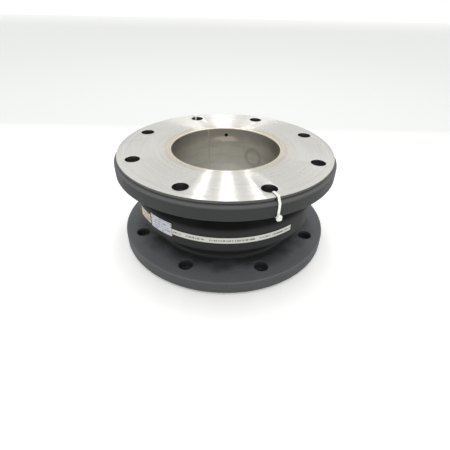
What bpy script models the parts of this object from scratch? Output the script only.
"""Spool-type rubber expansion joint, 8 inch pipe size, with a stainless flow liner.

Units are metres. The origin is the centre of the bottom flange face and +Z runs along the
pipe axis, up to the plate of the flow liner. The rubber body is built in layers, from the
bore outwards: tube, three fabric plies, and the cover, with four steel rings under the cover
and one filler ring inside each flange.
"""
import math

import bmesh
import bpy
from mathutils import Matrix, Vector

MM = 0.001
GAP = 0.3 * MM                    # clearance kept between pieces that touch
SIDES = 32                        # facets round each nested rubber layer
FINE_SIDES = 48                   # facets round the steel liner

# Overall sizes
FACE_TO_FACE = 152.4 * MM         # rubber face to rubber face
MID = FACE_TO_FACE / 2            # height of the arch's middle plane
BORE_RADIUS = 101.6 * MM
FLANGE_RADIUS = 176.3 * MM
FLANGE_THICKNESS = 23.0 * MM

# Bolt holes, the same in both flanges
HOLE_COUNT = 8
HOLE_RADIUS = 11.11 * MM
HOLE_CIRCLE_RADIUS = 149.225 * MM
FIRST_HOLE_DEG = 22.5
HOLE_SIDES = 12
HOLE_OVERSHOOT = 12.0 * MM        # how far the cutting pins pass each flange's two faces
INNER_HOLE_RADIUS = 11.8 * MM     # in the hidden plies and fillers, with fewer facets
INNER_HOLE_SIDES = 8

# Arch, on its inner surface: heights are measured from the middle plane
ARCH_FOOT = 26.0 * MM
ARCH_CROWN = 8.5 * MM
ARCH_RADIUS = 136.5 * MM

# Wall thicknesses at the neck, on the arch's flank and at its crown
TUBE_WALL = (4.5 * MM, 4.0 * MM, 3.5 * MM)
FULL_WALL = (17.9 * MM, 14.0 * MM, 12.5 * MM)
TUBE_FACE = 5.0 * MM              # thickness of the tube's flange face
PLY_COUNT = 3
PLY_THICKNESS = 1.1 * MM
PLY_PITCH = PLY_THICKNESS + GAP
PLY_RIM = 171.0 * MM              # outer radius of plies and fillers
BEND_RADIUS = 9.0 * MM            # tube's outer bend from neck to flange
COVER_BACK = 4.5 * MM             # cover thickness on the flange's back
COVER_EDGE = 2.0 * MM             # chamfer round the flange's back edge
BORE_EDGE = 1.5 * MM              # chamfer where the bore meets the sealing face
FACE_ROLL = 11.8 * MM             # width over which the sealing face rolls off
FACE_ROLL_DEG = (62, 32, 0)       # where the corners of that roll lie on its arc
BACK_FILLET = 5.0 * MM
COVER_ROUNDING = 5.0 * MM

# Steel body rings
RING_ROD_RADIUS = 2.5 * MM
RING_RADIUS = 113.7 * MM
RING_POCKET = 0.3 * MM            # clearance round a ring in the cover
ROOT_RING_HEIGHT = 45.2 * MM      # from the middle plane
ARCH_RING_HEIGHT = 34.0 * MM
RING_SIDES = 6

# Flow liner
PLATE_RADIUS = 171.45 * MM
PLATE_TOP = 157.16 * MM
PLATE_CHAMFER = 0.4 * MM
SLEEVE_OUTER = 90.25 * MM
SLEEVE_INNER = 87.5 * MM
SLEEVE_BOTTOM = 21.0 * MM
SLEEVE_TOP = 154.6 * MM
WELD_DOME = 0.8 * MM
SEAM_DEG = 111.2
SEAM_WIDTH = 3.2 * MM
SEAM_RADIUS = 87.1 * MM
SEAM_RISE = 0.6 * MM
SEAM_STEPS = 4
VENT_RADIUS = 3.25 * MM
VENT_HEIGHT = 143.2 * MM
VENT_DEG = 89.6
VENT_PIN = 12.0 * MM              # length of the pin that cuts the vent
WELD_MARGIN = 0.1 * MM            # ring weld's step in from the sleeve's bore and the plate's face
SEAM_MARGIN = 0.5 * MM            # seam weld's distance from the sleeve's ends

# Cable ties
STRAP_WIDTH = 3.5 * MM
STRAP_THICKNESS = 1.3 * MM
STRAP_CLEARANCE = 0.5 * MM
STRAP_CORNER = 2.0 * MM           # drop to where the strap turns down the rim
STRAP_MITRE = 0.6                 # keeps the strap's thickness round its slanted corner
STRAP_SINK = STRAP_THICKNESS / 3  # how far the head starts outside the strap's inner face
TIE_HEAD = (5.4 * MM, 6.8 * MM, 8.0 * MM)   # radial, round the rim, along the pipe
TIE_HEAD_HEIGHT = 130.7 * MM
FRONT_TIE_DEG = 292.5
BACK_TIE_DEG = 112.5

# Printed labels on the crown: start and end angle, bottom and top height
LABEL_RADIUS = 149.35 * MM
LABEL_THICKNESS = 0.3 * MM
LABEL_STEP_DEG = 5
LABEL_LEAST_STEPS = 6
LABELS = {
    "marking_strip": (240.1, 311.0, 74.6 * MM, 83.8 * MM),
    "white_label": (223.0, 239.8, 69.7 * MM, 92.7 * MM),
    "tan_label": (210.0, 222.2, 72.0 * MM, 88.0 * MM),
}


def clear_scene():
    for old in list(bpy.data.objects):
        bpy.data.objects.remove(old, do_unlink=True)


def new_collection(name):
    collection = bpy.data.collections.new(name)
    bpy.context.scene.collection.children.link(collection)
    return collection


def new_material(name, color, roughness, metallic=0.0):
    material = bpy.data.materials.new(name)
    material.use_nodes = True
    shader = material.node_tree.nodes["Principled BSDF"]
    shader.inputs["Base Color"].default_value = (*color, 1.0)
    shader.inputs["Roughness"].default_value = roughness
    shader.inputs["Metallic"].default_value = metallic
    return material


def new_object(name, data, collection, material=None):
    obj = bpy.data.objects.new(name, data)
    collection.objects.link(obj)
    if material:
        data.materials.append(material)
    return obj


def add_screw(obj, sides, angle=math.tau):
    screw = obj.modifiers.new("Turn", "SCREW")
    screw.axis = "Z"
    screw.angle = angle
    screw.steps = sides
    screw.render_steps = sides
    screw.use_merge_vertices = angle == math.tau
    screw.merge_threshold = 0.00005
    screw.use_smooth_shade = True
    return screw


def turned(name, outline, sides, collection, material):
    """A solid of revolution about Z from a closed outline of (radius, height), clockwise."""
    mesh = bpy.data.meshes.new(name)
    count = len(outline)
    edges = [(i, (i + 1) % count) for i in range(count)]
    mesh.from_pydata([(radius, 0, height) for radius, height in outline], edges, [])
    obj = new_object(name, mesh, collection, material)
    add_screw(obj, sides)
    return obj


def rounded(before, corner, after, radius, steps):
    """Points of an arc of the given radius in place of one corner of an outline."""
    here = Vector(corner)
    to_before = (Vector(before) - here).normalized()
    to_after = (Vector(after) - here).normalized()
    half = to_before.angle(to_after) / 2
    centre = here + (to_before + to_after).normalized() * radius / math.sin(half)
    start = here + to_before * radius / math.tan(half) - centre
    end = here + to_after * radius / math.tan(half) - centre
    sweep = start.angle_signed(end)
    points = []
    for i in range(steps + 1):
        turn = Matrix.Rotation(-sweep * i / steps, 2)
        points.append(tuple(centre + turn @ start))
    return points


def flank_slope():
    run, rise = ARCH_FOOT - ARCH_CROWN, ARCH_RADIUS - BORE_RADIUS
    length = math.hypot(run, rise)
    return rise / length, run / length


def arch_corners(neck, flank, crown):
    """Foot and crown corners, as (radius, height from the middle), of the surface that lies
    the given depths outside the tube's inner surface."""
    across, along = flank_slope()
    foot = (BORE_RADIUS + neck, ARCH_FOOT + (flank - along * neck) / across)
    top = (ARCH_RADIUS + crown, ARCH_CROWN + (flank - along * crown) / across)
    return foot, top


def bend(offset):
    """Corner of a layer between neck and flange, offset outwards from the tube's outer side."""
    centre_radius = BORE_RADIUS + TUBE_WALL[0] + BEND_RADIUS
    centre_height = MID - TUBE_FACE - BEND_RADIUS
    radius = BEND_RADIUS - offset
    points = []
    for degrees in (180, 135, 90):
        angle = math.radians(degrees)
        points.append((centre_radius + radius * math.cos(angle), centre_height + radius * math.sin(angle)))
    return points


def carcass_surface(offset, rim):
    """Half outline, crown to flange rim, of a surface outside the tube by the offset."""
    foot, top = arch_corners(*(wall + offset for wall in TUBE_WALL))
    return [top, foot, *bend(offset), (rim, MID - TUBE_FACE - offset)]


def mirrored(outer_half, inner_half):
    """Closed outline of a layer with a flange at each end, from two half outlines."""
    upper_outer = [(radius, MID + height) for radius, height in reversed(outer_half)]
    lower_outer = [(radius, MID - height) for radius, height in outer_half]
    lower_inner = [(radius, MID - height) for radius, height in reversed(inner_half)]
    upper_inner = [(radius, MID + height) for radius, height in inner_half]
    return upper_outer + lower_outer + lower_inner + upper_inner


def make_hole_cutter(name, radius, sides, collection):
    """One mesh of sixteen pins: eight through each flange, clear of the arch between them."""
    cutter_mesh = bmesh.new()
    inside = FLANGE_THICKNESS + HOLE_OVERSHOOT
    for low, high in ((-HOLE_OVERSHOOT, inside), (FACE_TO_FACE - inside, FACE_TO_FACE + HOLE_OVERSHOOT)):
        for i in range(HOLE_COUNT):
            angle = math.radians(FIRST_HOLE_DEG + 360 / HOLE_COUNT * i)
            centre = Vector((math.cos(angle), math.sin(angle), 0)) * HOLE_CIRCLE_RADIUS
            centre.z = (low + high) / 2
            bmesh.ops.create_cone(cutter_mesh, cap_ends=True, segments=sides, radius1=radius, radius2=radius,
                                  depth=high - low, matrix=Matrix.Translation(centre))
    mesh = bpy.data.meshes.new(name)
    cutter_mesh.to_mesh(mesh)
    cutter_mesh.free()
    return hide_cutter(new_object(name, mesh, collection))


def hide_cutter(obj):
    obj.display_type = "WIRE"
    obj.hide_render = True
    return obj


def cut(obj, cutter):
    boolean = obj.modifiers.new("Cut", "BOOLEAN")
    boolean.operation = "DIFFERENCE"
    boolean.solver = "EXACT"
    boolean.object = cutter


def make_tube(collection, material, holes):
    foot, top = arch_corners(0, 0, 0)
    roll = [(FLANGE_RADIUS - FACE_ROLL * (1 - math.sin(angle)), MID - TUBE_FACE * (1 - math.cos(angle)))
            for angle in (math.radians(degrees) for degrees in FACE_ROLL_DEG)]
    inner = [top, foot, (BORE_RADIUS, MID - BORE_EDGE), (BORE_RADIUS + BORE_EDGE, MID), *reversed(roll)]
    tube = turned("inner_tube", mirrored(carcass_surface(0, FLANGE_RADIUS), inner), SIDES, collection, material)
    cut(tube, holes)


def make_plies(collection, material, holes):
    names = ("carcass_ply_inner", "carcass_ply_middle", "carcass_ply_outer")
    for i, name in enumerate(names[:PLY_COUNT]):
        inside = GAP + i * PLY_PITCH
        outline = mirrored(carcass_surface(inside + PLY_THICKNESS, PLY_RIM), carcass_surface(inside, PLY_RIM))
        cut(turned(name, outline, SIDES, collection, material), holes)


def carcass_depth():
    """How far the cover and the fillers lie outside the tube."""
    return GAP + PLY_COUNT * PLY_PITCH


def make_fillers(collection, material, holes):
    back = MID - FLANGE_THICKNESS + COVER_BACK + GAP
    corner = bend(carcass_depth())
    face = MID - TUBE_FACE - carcass_depth()
    half = [(corner[0][0], back), *corner, (PLY_RIM, face), (PLY_RIM, back)]
    upper = turned("upper_flange_filler", [(r, MID + h) for r, h in half], SIDES, collection, material)
    lower = turned("lower_flange_filler", [(r, MID - h) for r, h in reversed(half)], SIDES, collection, material)
    cut(upper, holes)
    cut(lower, holes)


def ring_pocket(height):
    """Groove in the cover's inner side round one steel ring, listed towards the flange."""
    half = RING_ROD_RADIUS + RING_POCKET
    floor = RING_RADIUS + half
    mouth = BORE_RADIUS + TUBE_WALL[0] + carcass_depth()
    return [(mouth, height - half), (floor, height - half), (floor, height + half), (mouth, height + half)]


def make_cover(collection, material, holes):
    foot, top = arch_corners(*FULL_WALL)
    neck = BORE_RADIUS + FULL_WALL[0]
    back = MID - FLANGE_THICKNESS
    end = MID - TUBE_FACE - GAP
    outer = [*rounded((top[0], 0), top, foot, COVER_ROUNDING, 2), *rounded(top, foot, (neck, back), COVER_ROUNDING, 2),
             *rounded(foot, (neck, back), (FLANGE_RADIUS, back), BACK_FILLET, 2),
             (FLANGE_RADIUS - COVER_EDGE, back), (FLANGE_RADIUS, back + COVER_EDGE), (FLANGE_RADIUS, end)]
    depth = carcass_depth()
    inner_foot, inner_top = arch_corners(*(wall + depth for wall in TUBE_WALL))
    rim = PLY_RIM + GAP
    seat = back + COVER_BACK
    inner = [inner_top, inner_foot, *ring_pocket(ARCH_RING_HEIGHT), *ring_pocket(ROOT_RING_HEIGHT),
             (inner_foot[0], seat), (rim, seat), (rim, end)]
    cut(turned("outer_cover", mirrored(outer, inner), SIDES, collection, material), holes)


def make_rings(collection, material):
    heights = {"lower_root_ring": MID - ROOT_RING_HEIGHT, "lower_arch_ring": MID - ARCH_RING_HEIGHT,
               "upper_arch_ring": MID + ARCH_RING_HEIGHT, "upper_root_ring": MID + ROOT_RING_HEIGHT}
    for name, height in heights.items():
        outline = []
        for i in range(RING_SIDES):
            angle = -math.tau * (i + 0.5) / RING_SIDES
            outline.append((RING_RADIUS + RING_ROD_RADIUS * math.cos(angle), height + RING_ROD_RADIUS * math.sin(angle)))
        turned(name, outline, SIDES, collection, material)


def make_plate(collection, material, holes):
    bottom = FACE_TO_FACE + GAP
    bore = SLEEVE_OUTER + GAP
    chamfer = PLATE_CHAMFER
    outline = [(bore, PLATE_TOP), (PLATE_RADIUS - chamfer, PLATE_TOP), (PLATE_RADIUS, PLATE_TOP - chamfer),
               (PLATE_RADIUS, bottom + chamfer), (PLATE_RADIUS - chamfer, bottom), (bore, bottom)]
    cut(turned("liner_plate", outline, FINE_SIDES, collection, material), holes)


def make_vent_cutter(collection):
    angle = math.radians(VENT_DEG)
    radius = (SLEEVE_INNER + SLEEVE_OUTER) / 2
    place = Matrix.Translation((radius * math.cos(angle), radius * math.sin(angle), VENT_HEIGHT))
    turn = Matrix.Rotation(angle, 4, "Z") @ Matrix.Rotation(math.pi / 2, 4, "Y")
    cutter_mesh = bmesh.new()
    bmesh.ops.create_cone(cutter_mesh, cap_ends=True, segments=HOLE_SIDES, radius1=VENT_RADIUS,
                          radius2=VENT_RADIUS, depth=VENT_PIN, matrix=place @ turn)
    mesh = bpy.data.meshes.new("vent_cutter")
    cutter_mesh.to_mesh(mesh)
    cutter_mesh.free()
    return hide_cutter(new_object("vent_cutter", mesh, collection))


def make_sleeve(collection, material, vent):
    outline = [(SLEEVE_INNER, SLEEVE_TOP), (SLEEVE_OUTER, SLEEVE_TOP), (SLEEVE_OUTER, SLEEVE_BOTTOM),
               (SLEEVE_INNER, SLEEVE_BOTTOM)]
    cut(turned("liner_sleeve", outline, FINE_SIDES, collection, material), vent)


def make_plate_weld(collection, material):
    """Ring weld that fills the corner above the sleeve, inside the plate's bore."""
    inner, outer = SLEEVE_INNER + WELD_MARGIN, SLEEVE_OUTER
    bottom, top = SLEEVE_TOP + GAP, PLATE_TOP - WELD_MARGIN
    outline = [(inner + WELD_DOME, top), (outer, top), (outer, bottom), (inner, bottom), (inner, top - WELD_DOME)]
    turned("sleeve_ring_weld", outline, FINE_SIDES, collection, material)


def curved_sheet(name, radius, thickness, span_deg, heights, steps, collection, material):
    """A sheet bent round Z: one upright line swept over part of a turn, thickened outwards."""
    start, end = (math.radians(degrees) for degrees in span_deg)
    low, high = heights
    mesh = bpy.data.meshes.new(name)
    mesh.from_pydata([(radius, 0, high), (radius, 0, low)], [(0, 1)], [])
    obj = new_object(name, mesh, collection, material)
    obj.rotation_euler.z = start
    add_screw(obj, steps, end - start)
    shell = obj.modifiers.new("Thickness", "SOLIDIFY")
    shell.thickness = thickness
    shell.offset = 1.0
    shell.use_even_offset = True
    return obj


def make_seam_weld(collection, material):
    half = math.degrees(SEAM_WIDTH / 2 / SLEEVE_INNER)
    span = (SEAM_DEG - half, SEAM_DEG + half)
    heights = (SLEEVE_BOTTOM + SEAM_MARGIN, SLEEVE_TOP - SEAM_MARGIN)
    curved_sheet("sleeve_seam_weld", SEAM_RADIUS - SEAM_RISE, SEAM_RISE, span, heights, SEAM_STEPS, collection, material)


def make_labels(collection, materials):
    for name, (start, end, low, high) in LABELS.items():
        steps = max(LABEL_LEAST_STEPS, round((end - start) / LABEL_STEP_DEG))
        curved_sheet(name, LABEL_RADIUS, LABEL_THICKNESS, (start, end), (low, high), steps,
                     collection, materials[name])


def add_loop(curve, points):
    spline = curve.splines.new("POLY")
    spline.points.add(len(points) - 1)
    spline.use_cyclic_u = True
    for spline_point, (radius, height) in zip(spline.points, points):
        spline_point.co = (radius, height, 0, 1)


def strap_loop(offset):
    """Corners, as (radius, height), of the strap's path round the flange rim, moved outwards."""
    hole_wall = HOLE_CIRCLE_RADIUS + HOLE_RADIUS - STRAP_CLEARANCE - offset
    rim = FLANGE_RADIUS + STRAP_CLEARANCE + offset
    top = PLATE_TOP + STRAP_CLEARANCE + offset
    bottom = FACE_TO_FACE - FLANGE_THICKNESS - STRAP_CLEARANCE - offset
    plate_edge = PLATE_RADIUS + STRAP_CLEARANCE + offset * STRAP_MITRE
    return [(hole_wall, bottom), (hole_wall, top), (plate_edge, top), (rim, FACE_TO_FACE - STRAP_CORNER), (rim, bottom)]


def make_tie(name, degrees, collection, material):
    """A flat strap looped through a bolt hole and round the rim, with its square head."""
    curve = bpy.data.curves.new(name + "_outline", "CURVE")
    curve.dimensions = "2D"
    curve.fill_mode = "BOTH"
    curve.extrude = STRAP_WIDTH / 2
    add_loop(curve, strap_loop(STRAP_THICKNESS))
    add_loop(curve, strap_loop(0))
    guide = new_object(name + "_outline", curve, collection)
    guide.rotation_euler = (math.pi / 2, 0, math.radians(degrees))
    bpy.context.view_layer.update()
    depsgraph = bpy.context.evaluated_depsgraph_get()
    mesh = bpy.data.meshes.new_from_object(guide.evaluated_get(depsgraph))
    strap_mesh = bmesh.new()
    strap_mesh.from_mesh(mesh)
    bmesh.ops.remove_doubles(strap_mesh, verts=strap_mesh.verts, dist=0.00001)
    bmesh.ops.recalc_face_normals(strap_mesh, faces=strap_mesh.faces)
    strap_mesh.to_mesh(mesh)
    strap_mesh.free()
    tie = new_object(name, mesh, collection, material)
    tie.matrix_world = guide.matrix_world
    bpy.data.objects.remove(guide, do_unlink=True)
    return tie


def make_tie_head(name, degrees, collection):
    depth, width, height = TIE_HEAD
    radius = FLANGE_RADIUS + STRAP_CLEARANCE + STRAP_SINK + depth / 2
    angle = math.radians(degrees)
    head_mesh = bmesh.new()
    place = Matrix.Translation((radius * math.cos(angle), radius * math.sin(angle), TIE_HEAD_HEIGHT))
    turn = Matrix.Rotation(angle, 4, "Z")
    bmesh.ops.create_cube(head_mesh, size=1, matrix=place @ turn @ Matrix.Diagonal((depth, width, height, 1)))
    mesh = bpy.data.meshes.new(name + "_head")
    head_mesh.to_mesh(mesh)
    head_mesh.free()
    return hide_cutter(new_object(name + "_head", mesh, collection))


def make_ties(collection, cutters, material):
    for name, degrees in (("cable_tie_front", FRONT_TIE_DEG), ("cable_tie_back", BACK_TIE_DEG)):
        tie = make_tie(name, degrees, collection, material)
        join = tie.modifiers.new("Head", "BOOLEAN")
        join.operation = "UNION"
        join.solver = "EXACT"
        join.object = make_tie_head(name, degrees, cutters)


def main():
    clear_scene()
    joint = new_collection("rubber_expansion_joint")
    cutters = new_collection("cutters")
    black_rubber = new_material("black_rubber", (0.045, 0.046, 0.05), 0.7)
    tube_rubber = new_material("tube_rubber", (0.03, 0.03, 0.032), 0.6)
    fabric = new_material("rubberised_fabric", (0.28, 0.25, 0.2), 0.85)
    filler = new_material("filler_rubber", (0.07, 0.07, 0.07), 0.8)
    ring_steel = new_material("ring_steel", (0.35, 0.36, 0.38), 0.4, 1.0)
    brushed = new_material("brushed_stainless", (0.62, 0.61, 0.58), 0.32, 1.0)
    weld = new_material("weld_metal", (0.55, 0.47, 0.36), 0.4, 1.0)
    nylon = new_material("white_nylon", (0.85, 0.85, 0.82), 0.45)
    label_looks = {"marking_strip": new_material("grey_strip", (0.6, 0.6, 0.58), 0.5),
                   "white_label": new_material("white_paper", (0.85, 0.86, 0.86), 0.6),
                   "tan_label": new_material("tan_paper", (0.6, 0.47, 0.33), 0.6)}
    holes = make_hole_cutter("bolt_hole_cutter", HOLE_RADIUS, HOLE_SIDES, cutters)
    inner_holes = make_hole_cutter("inner_hole_cutter", INNER_HOLE_RADIUS, INNER_HOLE_SIDES, cutters)
    make_tube(joint, tube_rubber, holes)
    make_plies(joint, fabric, inner_holes)
    make_fillers(joint, filler, inner_holes)
    make_cover(joint, black_rubber, holes)
    make_rings(joint, ring_steel)
    make_plate(joint, brushed, holes)
    make_sleeve(joint, brushed, make_vent_cutter(cutters))
    make_plate_weld(joint, weld)
    make_seam_weld(joint, weld)
    make_labels(joint, label_looks)
    make_ties(joint, cutters, nylon)


main()
